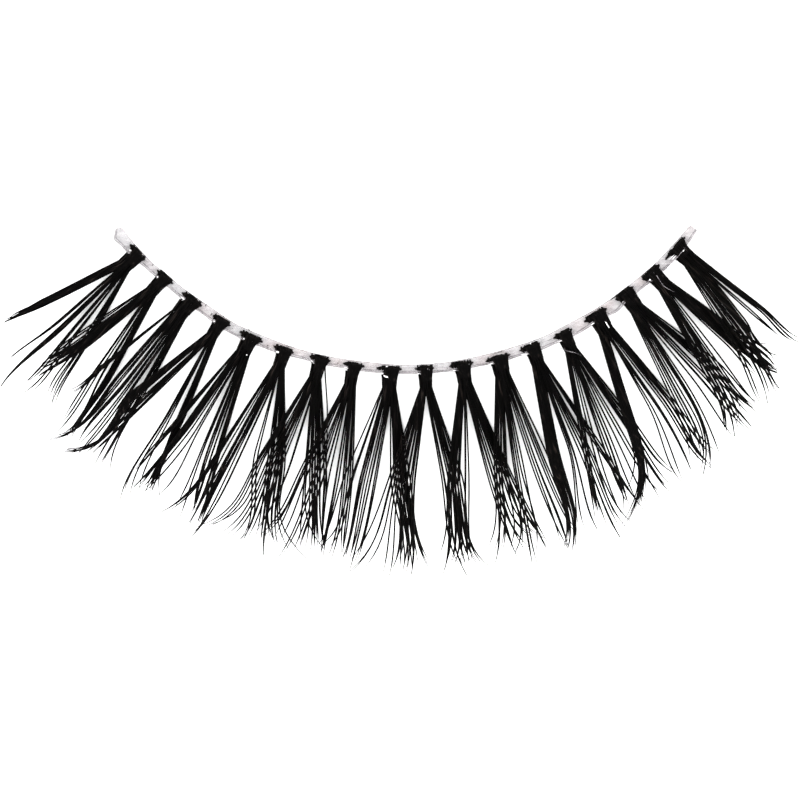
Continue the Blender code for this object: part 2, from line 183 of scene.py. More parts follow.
# One row for each knot, left to right. shift: off the even pitch, as a share of it.
# In millimetres from its middle: left, right: its ends along the band; back, front: its edges across
# the band; waist_left, waist_right: the sides of its waist
KNOTS = table("Knot", "shift left right back front waist_left waist_right", (
    (0.00, -0.54, 0.55, -0.17, 0.12, -0.33, 0.44),
    (0.03, -0.43, 0.50, -0.27, 0.05, -0.31, 0.33),
    (0.02, -0.54, 0.62, -0.27, 0.09, -0.46, 0.35),
    (0.03, -0.45, 0.52, -0.17, 0.14, -0.28, 0.29),
    (-0.01, -0.56, 0.60, -0.13, 0.18, -0.37, 0.33),
    (-0.02, -0.50, 0.52, -0.15, 0.16, -0.25, 0.35),
    (0.02, -0.52, 0.54, -0.25, 0.10, -0.30, 0.30),
    (-0.02, -0.50, 0.55, -0.22, 0.06, -0.32, 0.27),
    (-0.01, -0.58, 0.60, -0.20, 0.10, -0.30, 0.39),
    (-0.02, -0.42, 0.46, -0.22, 0.10, -0.27, 0.32),
    (0.02, -0.55, 0.57, -0.23, 0.13, -0.29, 0.37),
    (0.03, -0.53, 0.64, -0.13, 0.14, -0.32, 0.44),
    (0.00, -0.51, 0.55, -0.19, 0.13, -0.22, 0.43),
    (0.01, -0.49, 0.46, -0.14, 0.17, -0.31, 0.31),
    (0.06, -0.62, 0.60, -0.19, 0.16, -0.39, 0.42),
    (0.07, -0.53, 0.54, -0.27, 0.12, -0.37, 0.40),
    (0.04, -0.60, 0.50, -0.20, 0.15, -0.37, 0.36),
    (0.00, -0.70, 0.70, -0.13, 0.11, -0.40, 0.40),
))

# One row for each place along the clear film. at: in knots from the first one.
# back, front: its edges across the band, in millimetres from the centre line
FILM_PLACES = table("FilmPlace", "at back front", (
    (-0.88, -0.10, 0.06), (-0.84, -0.20, 0.14), (-0.76, -0.24, 0.30), (-0.70, -0.24, 0.42),
    (-0.35, -0.22, 0.36), (0.5, -0.20, 0.21), (1.3, -0.29, 0.16), (2.4, -0.29, 0.20),
    (3.4, -0.23, 0.33), (4.5, -0.26, 0.28), (5.5, -0.28, 0.17), (6.5, -0.28, 0.15),
    (7.5, -0.32, 0.16), (8.5, -0.25, 0.17), (9.5, -0.28, 0.20), (10.5, -0.30, 0.20),
    (11.5, -0.32, 0.23), (12.5, -0.26, 0.30), (13.5, -0.33, 0.34), (14.2, -0.28, 0.28),
    (14.6, -0.27, 0.42), (15.0, -0.26, 0.30), (15.6, -0.26, 0.28), (16.5, -0.20, 0.37),
    (17.4, -0.19, 0.33), (17.7, -0.18, 0.29), (17.76, -0.12, 0.26),
))

# The locks of fibres, left to right, in the legs that leave the waist. cluster: from 1 at the left
# first, last: where the leg leaves the waist, from -1 at the waist's left side to 1 at its right
# A lock's row is in millimetres. belly: how far to the side it is at BELLY_PLACE; late: the same at
# LATE_PLACE, or in a short lock halfway from BELLY_PLACE to its end; tip: the same at its end
# reach: how far out it ends, before its fine end, which goes on for TIP_PAST
# fibres: how many it holds; width, fan: across its fibres in the middle and at the tip
Lock = namedtuple("Lock", "belly late tip reach fibres width fan", defaults=(1, 0, 0))
LEGS = table("Leg", "cluster first last locks", (
    (1, -1.0, 0.1, (
        (-1.43, -1.55, -1.68, 6.05), (-1.35, -1.5, -1.66, 6.1), (-1.32, -1.6, -1.84, 6.95, 2, 0.06, 0.04),
        (-1.23, -1.52, -1.82, 7.05, 2, 0.06, 0.03), (-1.14, -1.44, -1.8, 7.0, 2, 0.06, 0.04),
    )),
    (1, -0.2, 1.0, (
        (-0.13, -0.28, -0.37, 8.0), (-0.05, -0.26, -0.33, 7.9), (0.14, 0.15, 0.29, 9.2, 2, 0.05, 0.02),
        (0.27, 0.23, 0.31, 9.27, 3, 0.1, 0.02), (0.66, 0.94, 1.05, 8.2, 2, 0.04, 0.04),
        (0.74, 1.07, 1.12, 8.0), (0.92, 1.3, 1.4, 8.7), (0.99, 1.43, 1.62, 8.2), (1.4, 1.79, 2.09, 7.85),
        (1.5, 1.97, 2.32, 7.9), (1.58, 2.07, 2.45, 7.85), (1.66, 2.21, 2.6, 8.0, 2, 0.03, 0.03),
        (1.75, 2.32, 2.71, 7.9),
    )),
    (2, -1.0, 0.5, (
        (-1.38, -1.52, -1.62, 6.4), (-1.26, -1.42, -1.56, 6.6), (-1.08, -1.33, -1.62, 6.9),
        (-1.0, -1.24, -1.5, 6.85), (-0.86, -1.12, -1.45, 7.2, 4, 0.18, 0.08),
        (-0.64, -0.93, -1.3, 7.5, 4, 0.2, 0.04),
    )),
    (2, -0.25, 1.0, (
        (0.44, 0.7, 0.9, 8.1), (0.49, 0.84, 1.05, 8.45), (0.62, 0.98, 1.2, 9.0, 2, 0.04, 0.02),
        (0.8, 1.34, 1.5, 9.0, 2, 0.06, 0.03), (1.02, 1.4, 1.64, 8.9, 2, 0.05, 0.04),
        (1.16, 1.5, 1.72, 8.6, 3, 0.1, 0.08), (1.28, 1.58, 1.86, 8.8),
    )),
    (3, -1.0, -0.85, (
        (-1.62, -1.8, -2.02, 6.8), (-1.55, -1.73, -1.93, 6.85), (-1.48, -1.66, -1.86, 6.8),
    )),
    (3, -0.8, 0.5, (
        (-0.72, -0.72, -1.38, 9.7, 2, 0.05, 0.03), (-0.64, -0.62, -1.14, 9.05),
        (-0.47, -0.55, -0.94, 8.95, 2, 0.09, 0.04), (-0.21, -0.37, -0.4, 8.8, 3, 0.1, 0.05),
        (-0.02, -0.06, -0.2, 8.7), (0.05, 0.07, 0.02, 9.2), (0.19, 0.22, 0.06, 9.1),
        (0.26, 0.38, 0.36, 8.75),
    )),
    (3, 0.3, 1.0, (
        (0.58, 0.74, 0.94, 9.15, 2, 0.03, 0.02), (0.68, 0.91, 1.2, 8.95),
        (0.77, 0.99, 1.16, 8.85, 2, 0.04, 0.05), (0.86, 1.07, 1.72, 9.1),
    )),
    (4, -1.0, 0.3, (
        (-1.88, -2.08, -3.04, 9.42, 2, 0.06, 0.04), (-1.74, -2.0, -2.98, 9.4, 3, 0.12, 0.03),
        (-1.58, -1.92, -2.92, 9.3, 2, 0.08, 0.03), (-1.3, -1.8, -2.9, 9.35, 2, 0.07, 0.03),
        (-1.2, -1.74, -2.3, 8.8), (-1.06, -1.6, -2.05, 8.75, 2, 0.07, 0.05),
    )),
    (4, -0.15, 0.1, (
        (0.06, 0.01, 0.2, 10.15), (0.1, 0.04, 0.15, 9.6), (0.17, 0.18, 0.47, 9.6, 2, 0.03, 0.01),
        (0.28, 0.38, 0.66, 9.0),
    )),
    (4, 0.2, 1.0, (
        (0.58, 0.9, 0.98, 8.75, 2, 0.06, 0.04), (0.68, 0.97, 1.1, 9.05, 2, 0.05, 0.02),
        (0.76, 1.02, 1.18, 8.8, 2, 0.05, 0.04), (0.84, 1.08, 1.32, 8.8, 2, 0.04, 0.04),
        (0.88, 1.04, 1.66, 8.85),
    )),
    (5, -1.0, -0.8, (
        (-1.53, -2.1, -2.36, 8.1), (-1.46, -1.98, -2.32, 8.25), (-1.38, -1.94, -2.26, 8.2),
    )),
    (5, -0.8, -0.2, (
        (-1.06, -1.46, -2.0, 9.05, 2, 0.06, 0.03), (-0.98, -1.4, -1.8, 8.95, 2, 0.06, 0.04),
        (-0.9, -1.34, -1.52, 9.02, 2, 0.06, 0.03), (-0.82, -1.28, -1.36, 8.85, 2, 0.06, 0.04),
    )),
    (5, -0.25, 0.15, (
        (-0.67, -1.1, -1.36, 8.35), (-0.48, -0.82, -1.35, 8.85), (-0.37, -0.43, -0.72, 8.9),
    )),
    (5, 0.0, 1.0, (
        (0.09, 0.19, 0.23, 8.9), (0.17, 0.32, 0.6, 9.45), (0.36, 0.58, 0.96, 8.75, 2, 0.05, 0.03),
        (0.44, 0.66, 1.02, 8.8), (0.58, 0.82, 1.05, 9.1, 2, 0.05, 0.03),
        (0.76, 1.06, 1.18, 8.9, 2, 0.05, 0.05), (0.84, 1.18, 1.42, 8.6),
        (0.9, 1.24, 1.58, 8.35, 2, 0.03, 0.03),
    )),
    (6, -1.0, 0.5, (
        (-1.22, -1.7, -2.88, 9.45), (-1.16, -1.62, -2.8, 9.4), (-1.1, -1.56, -2.66, 9.4),
        (-0.94, -1.22, -1.58, 9.65), (-0.76, -1.1, -1.5, 9.6, 2, 0.03, 0.03),
        (-0.68, -0.98, -1.18, 9.45, 2, 0.04, 0.03), (-0.58, -0.88, -1.1, 9.4),
        (-0.5, -0.8, -1.02, 9.3, 2, 0.04, 0.03), (-0.41, -0.62, -1.13, 10.1, 2, 0.03, 0.01),
        (-0.24, -0.43, -1.08, 10.05, 2, 0.02, 0.01),
    )),
    (6, 0.0, 1.0, (
        (0.32, 0.79, 1.2, 9.35, 2, 0.03, 0.02), (0.47, 0.97, 1.26, 9.35), (0.98, 1.42, 1.75, 8.9),
        (1.1, 1.56, 2.0, 9.0, 2, 0.04, 0.05), (1.22, 1.66, 2.2, 8.95, 2, 0.04, 0.04),
        (1.38, 1.8, 2.36, 9.85, 2, 0.03, 0.01), (1.5, 1.95, 2.5, 9.0, 2, 0.05, 0.06),
        (1.62, 2.12, 2.75, 9.1, 2, 0.04, 0.05), (1.72, 2.2, 3.3, 9.1), (1.82, 2.28, 4.15, 9.25),
    )),
    (7, -1.0, 0.4, (
        (-1.7, -2.2, -3.55, 9.2), (-1.61, -2.08, -3.35, 9.2), (-1.53, -1.95, -3.02, 9.05),
        (-1.44, -1.78, -2.85, 8.9), (-1.24, -1.62, -2.6, 9.35, 2, 0.03, 0.03), (-1.13, -1.48, -2.36, 9.45),
        (-1.02, -1.36, -2.1, 9.45), (-0.9, -1.2, -1.5, 9.3, 2, 0.03, 0.03), (-0.8, -1.05, -1.34, 9.2),
        (-0.68, -0.86, -0.15, 9.2), (-0.54, -0.76, -0.4, 9.0), (-0.18, -0.46, -0.9, 8.7, 2, 0.03, 0.03),
    )),
    (7, -0.5, 1.0, (
        (0.5, 0.82, 1.1, 8.6, 2, 0.03, 0.02), (0.6, 0.94, 2.1, 8.85), (0.72, 1.17, 1.5, 8.9),
        (0.84, 1.32, 1.76, 9.0, 2, 0.04, 0.03), (0.97, 1.44, 1.92, 9.1, 2, 0.05, 0.03),
        (1.1, 1.56, 2.02, 8.75, 2, 0.05, 0.04), (1.22, 1.7, 2.3, 8.8, 2, 0.05, 0.05),
        (1.42, 1.86, 2.22, 8.4), (1.54, 1.96, 2.12, 8.2),
    )),
    (8, -1.0, -0.4, (
        (-1.74, -2.36, -3.12, 8.6, 2, 0.04, 0.03), (-1.62, -2.18, -2.92, 8.7, 2, 0.04, 0.03),
        (-1.5, -2.08, -2.6, 8.7, 2, 0.04, 0.04), (-1.34, -1.8, -2.3, 8.8),
    )),
    (8, -0.5, 0.1, (
        (-1.05, -1.46, -2.25, 9.75, 2, 0.03, 0.01), (-0.95, -1.32, -2.02, 9.5), (-0.79, -1.12, -1.6, 9.3),
        (-0.6, -0.94, -1.32, 9.1, 2, 0.04, 0.03),
    )),
    (8, 0.0, 0.3, (
        (-0.38, -0.43, -0.3, 9.0, 2, 0.02, 0.02), (-0.05, -0.11, -0.26, 9.4, 2, 0.03, 0.01),
        (0.08, 0.0, -0.15, 9.35, 2, 0.02, 0.01),
    )),
    (8, 0.2, 1.0, (
        (0.26, 0.34, 0.2, 9.35, 2, 0.03, 0.01), (0.36, 0.44, 0.32, 9.4, 2, 0.03, 0.01),
        (0.48, 0.56, 0.68, 9.0), (0.58, 0.69, 0.76, 8.9), (0.68, 0.82, 0.8, 8.95),
    )),
    (9, -1.0, -0.8, (
        (-1.86, -2.44, -2.98, 8.55), (-1.52, -1.96, -2.9, 8.8), (-1.44, -1.83, -2.42, 8.7),
    )),
    (9, -0.7, 0.5, (
        (-1.12, -1.44, -1.8, 9.3, 2, 0.04, 0.02), (-1.0, -1.36, -1.72, 9.2, 2, 0.05, 0.02),
        (-0.88, -1.21, -1.52, 9.2), (-0.74, -1.06, -1.48, 9.1, 2, 0.03, 0.02),
        (-0.6, -0.94, -1.5, 10.05, 2, 0.02, 0.01), (-0.44, -0.72, -1.22, 9.35, 2, 0.04, 0.02),
        (-0.34, -0.64, -1.1, 9.25),
    )),
    (9, 0.2, 1.0, (
        (0.28, 0.64, 1.15, 9.7), (0.44, 0.82, 1.0, 9.1), (0.54, 0.9, 1.3, 9.85, 2, 0.03, 0.01),
        (0.64, 0.98, 1.55, 9.8, 2, 0.03, 0.01), (0.76, 1.1, 1.4, 9.4, 2, 0.05, 0.02),
        (0.87, 1.24, 1.6, 9.3, 2, 0.05, 0.04), (0.97, 1.32, 1.8, 9.3),
        (1.06, 1.42, 2.2, 9.5, 2, 0.04, 0.03), (1.19, 1.52, 2.3, 9.3, 2, 0.03, 0.03),
    )),
    (10, -1.0, 0.05, (
        (-1.96, -2.8, -3.98, 9.0), (-1.8, -2.46, -3.95, 9.75, 2, 0.05, 0.03), (-1.66, -2.22, -3.4, 9.55),
        (-1.54, -2.04, -2.55, 9.75), (-1.42, -1.84, -2.3, 10.05, 2, 0.04, 0.02),
        (-1.3, -1.6, -1.98, 9.6, 2, 0.05, 0.04), (-1.08, -1.46, -1.76, 9.85, 2, 0.05, 0.02),
        (-0.92, -1.2, -1.56, 9.7), (-0.82, -1.04, -1.36, 9.5, 2, 0.03, 0.03),
        (-0.72, -0.94, -1.16, 9.9, 2, 0.03, 0.02),
    )),
    (10, -0.15, 1.0, (
        (0.5, 0.64, 1.08, 9.6), (0.62, 0.82, 1.38, 10.25, 2, 0.03, 0.01),
        (0.8, 0.94, 1.22, 9.5, 2, 0.04, 0.03), (0.92, 1.16, 1.42, 9.5, 2, 0.05, 0.04),
        (1.06, 1.3, 1.6, 9.4, 2, 0.05, 0.04), (1.18, 1.44, 1.92, 9.7, 2, 0.05, 0.03),
        (1.32, 1.58, 2.3, 9.8, 2, 0.04, 0.02), (1.47, 1.68, 2.6, 9.9),
    )),
    (11, -1.0, -0.1, (
        (-1.44, -1.86, -2.5, 9.0), (-1.36, -1.76, -2.46, 9.95, 2, 0.05, 0.02), (-1.26, -1.64, -2.3, 9.6),
        (-1.18, -1.48, -1.94, 9.5, 2, 0.05, 0.04), (-1.08, -1.32, -1.72, 9.4, 2, 0.05, 0.04),
        (-0.96, -1.22, -1.5, 9.3), (-0.88, -1.02, -1.32, 9.2),
    )),
    (11, -0.1, 0.05, (
        (-0.6, -0.92, -1.18, 9.55, 2, 0.03, 0.03), (-0.43, -0.74, -1.04, 9.35),
    )),
    (11, -0.3, 1.0, (
        (0.36, 0.62, 1.18, 9.7), (0.46, 0.74, 1.06, 9.2), (0.6, 0.88, 1.64, 9.3, 2, 0.05, 0.03),
        (0.72, 1.0, 1.5, 9.2), (0.9, 1.12, 1.9, 8.85, 2, 0.05, 0.04), (1.02, 1.34, 2.2, 8.7),
        (1.12, 1.52, 2.02, 8.75, 2, 0.04, 0.03), (1.22, 1.72, 2.5, 9.0, 2, 0.05, 0.04),
        (1.32, 1.88, 2.66, 9.5, 2, 0.04, 0.03), (1.42, 2.0, 2.74, 9.1),
    )),
    (12, -1.0, 0.15, (
        (-1.44, -1.9, -2.75, 8.9), (-1.34, -1.78, -2.52, 9.6, 2, 0.05, 0.03), (-1.2, -1.66, -2.46, 9.05),
        (-1.08, -1.48, -2.1, 9.2, 2, 0.05, 0.04), (-0.94, -1.14, -1.7, 9.2),
        (-0.84, -0.94, -1.38, 9.5, 2, 0.04, 0.02),
    )),
    (12, -0.3, 0.3, (
        (-0.5, -0.72, -1.14, 9.2, 2, 0.04, 0.02), (-0.42, -0.62, -0.9, 10.15, 2, 0.03, 0.01),
        (-0.3, -0.5, -0.7, 10.15), (-0.2, -0.22, -0.5, 9.6), (-0.06, -0.2, -0.1, 9.6),
    )),
    (12, 0.0, 1.0, (
        (0.3, 0.46, 0.92, 9.8), (0.42, 0.58, 0.7, 9.4, 2, 0.03, 0.03),
        (0.54, 0.76, 1.02, 9.75, 2, 0.03, 0.03), (0.74, 0.99, 1.4, 9.0, 2, 0.03, 0.02),
        (0.84, 1.11, 1.52, 9.0), (0.94, 1.26, 1.34, 8.2), (1.16, 1.48, 1.6, 8.6),
    )),
    (13, -1.0, 0.6, (
        (-0.92, -1.08, -1.62, 9.7, 3, 0.09, 0.05), (-0.8, -0.98, -1.5, 9.9, 3, 0.09, 0.05),
        (-0.66, -0.84, -1.42, 10.1, 3, 0.09, 0.04), (-0.52, -0.7, -1.18, 9.8, 3, 0.09, 0.05),
        (-0.38, -0.58, -1.0, 9.4, 2, 0.06, 0.05),
    )),
    (13, 0.1, 0.3, (
        (0.08, -0.24, -0.76, 8.85), (0.16, -0.12, -0.56, 9.1), (0.26, 0.12, -0.05, 9.6, 2, 0.03, 0.03),
    )),
    (13, 0.2, 1.0, (
        (0.5, 0.56, 0.5, 9.4), (0.64, 0.74, 0.87, 10.3, 2, 0.03, 0.01), (0.78, 0.9, 1.02, 9.6),
        (0.88, 1.02, 1.26, 9.7), (0.97, 1.14, 1.6, 9.7, 2, 0.03, 0.02), (1.25, 1.72, 1.64, 9.0),
        (1.36, 1.8, 2.22, 8.75, 2, 0.05, 0.04), (1.47, 1.9, 2.46, 9.4),
    )),
    (14, -1.0, 0.0, (
        (-1.46, -2.02, -2.52, 8.7), (-1.34, -1.92, -2.3, 8.6, 2, 0.05, 0.04),
        (-1.22, -1.8, -2.2, 8.6, 2, 0.05, 0.04), (-0.98, -1.4, -1.66, 8.9), (-0.8, -1.16, -1.36, 9.0),
    )),
    (14, -0.1, 0.35, (
        (-0.52, -0.76, -0.86, 8.7, 2, 0.05, 0.03), (-0.4, -0.6, -0.78, 8.85),
        (-0.26, -0.48, -0.74, 8.8, 2, 0.04, 0.03), (-0.12, -0.26, -0.36, 8.8, 2, 0.04, 0.02),
        (0.1, 0.06, 0.02, 9.1),
    )),
    (14, 0.1, 1.0, (
        (0.3, 0.42, 0.8, 9.1, 2, 0.03, 0.02), (0.44, 0.58, 0.7, 9.3),
        (0.7, 0.9, 1.27, 9.35, 2, 0.03, 0.02), (0.8, 0.98, 1.16, 8.8, 2, 0.04, 0.04),
        (0.92, 1.12, 1.36, 8.7), (1.04, 1.3, 1.7, 8.4, 2, 0.05, 0.05), (1.18, 1.5, 1.8, 8.2),
    )),
    (15, -1.0, 0.1, (
        (-1.52, -2.1, -3.0, 8.0), (-1.43, -1.95, -3.98, 9.45, 2, 0.05, 0.03),
        (-1.34, -1.87, -3.6, 9.4, 2, 0.05, 0.04), (-1.26, -1.8, -3.2, 9.2, 2, 0.05, 0.04),
        (-1.17, -1.74, -2.76, 8.85, 2, 0.05, 0.04), (-1.09, -1.66, -2.4, 8.6, 2, 0.05, 0.04),
        (-1.01, -1.58, -2.1, 8.3),
    )),
    (15, 0.0, 0.15, (
        (-0.14, -0.5, -0.82, 9.1), (-0.02, -0.25, -0.66, 9.0, 2, 0.03, 0.02),
    )),
    (15, -0.2, 1.0, (
        (0.2, 0.2, 0.0, 8.8, 3, 0.08, 0.03), (0.48, 0.5, 0.72, 9.2, 2, 0.04, 0.03),
        (0.62, 0.66, 0.8, 9.1, 2, 0.05, 0.05), (0.76, 0.8, 0.78, 9.1, 2, 0.05, 0.04),
        (0.88, 0.98, 1.1, 8.7, 2, 0.05, 0.04), (1.0, 1.14, 1.36, 8.6),
    )),
    (16, -1.0, 0.1, (
        (-1.24, -1.76, -2.3, 8.2, 2, 0.03, 0.03), (-1.1, -1.54, -2.05, 8.4), (-0.96, -1.32, -1.84, 8.5),
        (-0.84, -1.18, -1.66, 8.6, 2, 0.04, 0.03), (-0.68, -0.96, -2.4, 9.2),
        (-0.5, -0.82, -2.1, 9.3, 2, 0.05, 0.03), (-0.4, -0.74, -1.8, 9.4, 2, 0.05, 0.03),
        (-0.28, -0.56, -1.1, 9.0),
    )),
    (16, -0.1, 1.0, (
        (0.1, 0.02, -0.1, 8.6), (0.38, 0.48, 0.6, 8.6, 2, 0.03, 0.02), (0.54, 0.66, 0.74, 8.8),
        (0.66, 0.84, 0.92, 8.95, 2, 0.03, 0.02), (0.92, 1.12, 1.2, 8.2),
        (1.04, 1.24, 1.32, 7.9, 2, 0.05, 0.04), (1.16, 1.36, 1.5, 8.3, 2, 0.05, 0.04),
        (1.27, 1.48, 1.6, 8.1), (1.5, 1.7, 1.82, 8.0),
    )),
    (17, -1.0, 0.1, (
        (-1.4, -1.96, -2.6, 8.2, 2, 0.05, 0.02), (-1.26, -1.82, -2.45, 8.1, 2, 0.05, 0.03),
        (-1.12, -1.66, -2.4, 8.6, 2, 0.05, 0.03), (-0.98, -1.5, -2.1, 8.5, 2, 0.05, 0.03),
        (-0.84, -1.28, -1.8, 8.3, 2, 0.05, 0.04), (-0.72, -1.1, -1.4, 7.9),
        (-0.6, -0.9, -1.0, 8.4, 2, 0.03, 0.02), (-0.36, -0.6, -0.7, 8.2),
    )),
    (17, -0.1, 1.0, (
        (0.26, 0.24, 0.2, 6.9), (0.38, 0.44, 0.4, 6.95, 2, 0.05, 0.03),
        (0.5, 0.66, 0.76, 7.6, 3, 0.1, 0.06), (0.64, 0.82, 1.0, 7.8, 4, 0.12, 0.05),
        (0.8, 0.98, 1.16, 7.6, 3, 0.1, 0.08), (0.96, 1.18, 1.32, 7.4, 3, 0.1, 0.08),
        (1.12, 1.38, 1.54, 7.1, 2, 0.06, 0.04),
    )),
    (18, -1.0, 0.8, (
        (-1.6, -2.5, -2.95, 7.95), (-1.48, -2.3, -2.8, 7.95), (-1.24, -1.86, -2.58, 8.4, 2, 0.06, 0.03),
        (-1.08, -1.7, -2.4, 8.3), (-0.94, -1.5, -1.98, 8.3, 2, 0.06, 0.03),
        (-0.74, -1.36, -1.82, 8.4, 3, 0.09, 0.05), (-0.62, -1.1, -1.4, 7.6, 2, 0.05, 0.04),
        (-0.52, -0.76, -0.82, 7.25, 2, 0.04, 0.03), (-0.4, -0.66, -0.8, 6.3),
    )),
    (18, 0.2, 0.3, (
        (0.1, 0.1, 0.1, 6.6, 2, 0.08, 0.03),
    )),
    (18, 0.3, 1.0, (
        (0.42, 0.36, 0.3, 7.3, 2, 0.05, 0.03), (0.52, 0.48, 0.45, 7.5, 2, 0.06, 0.03),
        (0.62, 0.6, 0.6, 7.4, 2, 0.06, 0.03),
    )),
))

# A narrow lock is drawn closer than its row says, and every second narrow pair as one fibre, but not the
# first locks of these clusters, which the photo shows as solid wedges
SOLID_CLUSTERS = (1, 4, 15, 18)
SOLID_LOCKS = 7
NARROW_WIDTH = 0.06
PAIR_WIDTH = 0.04
CLOSEST_WIDTH = 0.02

# The points of a fibre that passes over the front threads. to_waist: how far it has come from the crown to
# the waist, from 0 to 1; past_front: outward from the knot's front edge, and height, in millimetres
WRAP_POINTS = table("WrapPoint", "to_waist past_front height", (
    (0.15, -0.12, 0.385), (0.35, 0.00, 0.410), (0.60, 0.12, 0.370), (0.85, 0.30, 0.290), (1.00, 0.55, 0.200),
))

# Painted highlights: white drops where the knots and threads glint, in each cluster's own frame, in
# millimetres. knot: from 1 at the left; tilt: degrees, turning its right end outwards
GLINTS = table("Glint", "knot side outward length width tilt", (
    (1, -0.28, 0.15, 0.14, 0.08, -20), (1, 0.36, 0.17, 0.16, 0.04, -15),
    (2, -0.18, 0.12, 0.22, 0.06, 0), (2, 0.02, 0.08, 0.07, 0.07, 0),
    (3, -0.34, 0.13, 0.34, 0.06, 2), (3, 0.13, 0.12, 0.11, 0.10, 0),
    (4, -0.25, 0.20, 0.14, 0.05, 5), (4, 0.00, 0.21, 0.09, 0.06, 0),
    (5, -0.19, 0.25, 0.24, 0.10, -4), (5, 0.20, 0.23, 0.07, 0.06, 0),
    (5, 0.20, 0.93, 0.06, 0.06, 0),
    (6, -0.24, 0.21, 0.18, 0.09, -4),
    (7, -0.18, -0.03, 0.09, 0.09, 0), (7, -0.36, 0.13, 0.22, 0.03, 30),
    (8, -0.29, 0.11, 0.30, 0.04, 8), (8, -0.14, 0.22, 0.07, 0.06, 0),
    (9, -0.12, -0.17, 0.10, 0.05, 0), (9, -0.15, 0.33, 0.26, 0.10, 24),
    (9, -0.36, 0.18, 0.18, 0.04, 0),
    (10, 0.00, 0.22, 0.10, 0.05, 0), (10, -0.30, 0.17, 0.14, 0.04, 10),
    (11, 0.17, 0.18, 0.11, 0.10, 0), (11, 0.38, 0.00, 0.07, 0.07, 0),
    (11, -0.38, 0.18, 0.16, 0.04, 8),
    (12, -0.36, 0.20, 0.24, 0.05, 0), (12, -0.09, 0.27, 0.08, 0.06, 0),
    (12, 0.40, 0.17, 0.30, 0.05, -2),
    (13, -0.34, 0.22, 0.36, 0.07, 14), (13, -0.13, 0.06, 0.08, 0.06, 40),
    (13, 0.36, 0.20, 0.06, 0.14, 0), (13, 0.10, -0.19, 0.06, 0.06, 0),
    (14, -0.22, 0.28, 0.36, 0.05, 8), (14, -0.06, 0.32, 0.08, 0.07, 0),
    (14, 0.35, 0.03, 0.10, 0.08, -20),
    (15, -0.35, 0.27, 0.24, 0.05, 0), (15, 0.15, 0.19, 0.18, 0.05, -12),
    (15, 0.24, 0.70, 0.06, 0.40, 0),
    (16, -0.14, 0.22, 0.16, 0.06, 0), (16, 0.25, 0.00, 0.04, 0.16, 0),
    (17, -0.32, 0.20, 0.10, 0.09, 0), (17, 0.28, 0.20, 0.16, 0.04, -8),
    (18, -0.50, 0.15, 0.40, 0.04, 6), (18, -0.42, 0.25, 0.36, 0.04, 3),
    (18, 0.15, 0.38, 0.14, 0.04, 0),
))

# Dark marks in the film: ends of fibre caught in it, and long thin ones along its back edge that are painted
# shade where the back thread looks dark. at: in knots from the first one; the rest in millimetres
SPECKS = table("Speck", "at outward length width", (
    (0.56, -0.16, 0.05, 0.14), (2.40, 0.10, 0.05, 0.05), (2.78, -0.03, 0.09, 0.04),
    (3.42, 0.05, 0.05, 0.04), (2.72, -0.02, 0.05, 0.16), (3.04, -0.26, 0.09, 0.05),
    (3.86, -0.26, 0.09, 0.06), (3.68, 0.02, 0.06, 0.16), (4.52, 0.09, 0.07, 0.07),
    (5.05, -0.24, 0.14, 0.03), (6.54, -0.05, 0.06, 0.06), (11.1, -0.26, 0.60, 0.03),
    (14.75, -0.24, 0.45, 0.05), (16.58, 0.02, 0.10, 0.09), (16.30, 0.00, 0.12, 0.03),
    (2.45, -0.27, 0.04, 0.16), (9.62, 0.02, 0.06, 0.04), (12.6, 0.0, 0.30, 0.02),
))

# Single strands that run apart. knot: from 1 at the left; clear: a pale thread and not a black fibre
# route: its points as side, outward and height in millimetres in the cluster's own frame
STRANDS = table("Strand", "knot clear radius route", (
    (7, False, 0.036, (
        (0.36, 0.05, 0.20), (0.40, 0.45, 0.15), (0.98, 2.4, 0.09), (1.55, 5.0, 0.20), (2.00, 7.5, 1.4),
        (2.30, 8.8, 2.6),
    )),
    (14, True, 0.016, (
        (-0.48, 0.55, 0.30), (-0.33, 0.72, 0.36), (-0.10, 0.95, 0.40), (0.12, 1.12, 0.42), (0.34, 1.38, 0.40),
    )),
    (17, True, 0.018, (
        (0.07, 0.05, 0.42), (0.04, 0.40, 0.40), (-0.03, 0.85, 0.40), (0.03, 1.15, 0.40), (0.14, 1.45, 0.38),
    )),
    (10, True, 0.016, ((0.14, -0.05, 0.42), (0.26, 0.04, 0.42), (0.36, 0.12, 0.40), (0.46, 0.20, 0.36))),
))


def mix(a, b, share):
    """The value a share of the way from a to b."""
    return a + (b - a) * share


def ease(share):
    """A smooth step from 0 to 1."""
    share = min(1.0, max(0.0, share))
    return share * share * (3 - 2 * share)


def arc_point(angle, outward, height):
    """A point beside the band's centre line, measured from the middle of the band."""
    radius = LINE_RADIUS + outward
    return Vector((radius * math.sin(angle), LINE_RADIUS - radius * math.cos(angle), height))


def angle_at(place):
    """The angle along the band's curve of a place counted in knots from the first one."""
    return (place - KNOT_AT_MIDDLE) * KNOT_PITCH / LINE_RADIUS


def knot_angle(index):
    """Where a knot sits on the band's curve."""
    return angle_at(index + KNOTS[index].shift)


def along_axis(turn):
    """The level direction that is turned this far from the view's right."""
    return Vector((math.cos(turn), math.sin(turn), 0))


def across_axis(turn):
    """The level direction a quarter turn on from along_axis."""
    return Vector((-math.sin(turn), math.cos(turn), 0))


def smooth_route(points, per_span):
    """Points on a smooth curve through the given ones."""
    points = [Vector(p) for p in points]
    ends = [2 * points[0] - points[1], *points, 2 * points[-1] - points[-2]]
    route = []
    for before, start, stop, after in zip(ends, ends[1:], ends[2:], ends[3:]):
        for step in range(per_span):
            t = step / per_span
            route.append(0.5 * (
                2 * start
                + (stop - before) * t
                + (2 * before - 5 * start + 4 * stop - after) * t * t
                + (3 * start - before - 3 * stop + after) * t * t * t
            ))
    route.append(points[-1])
    return route


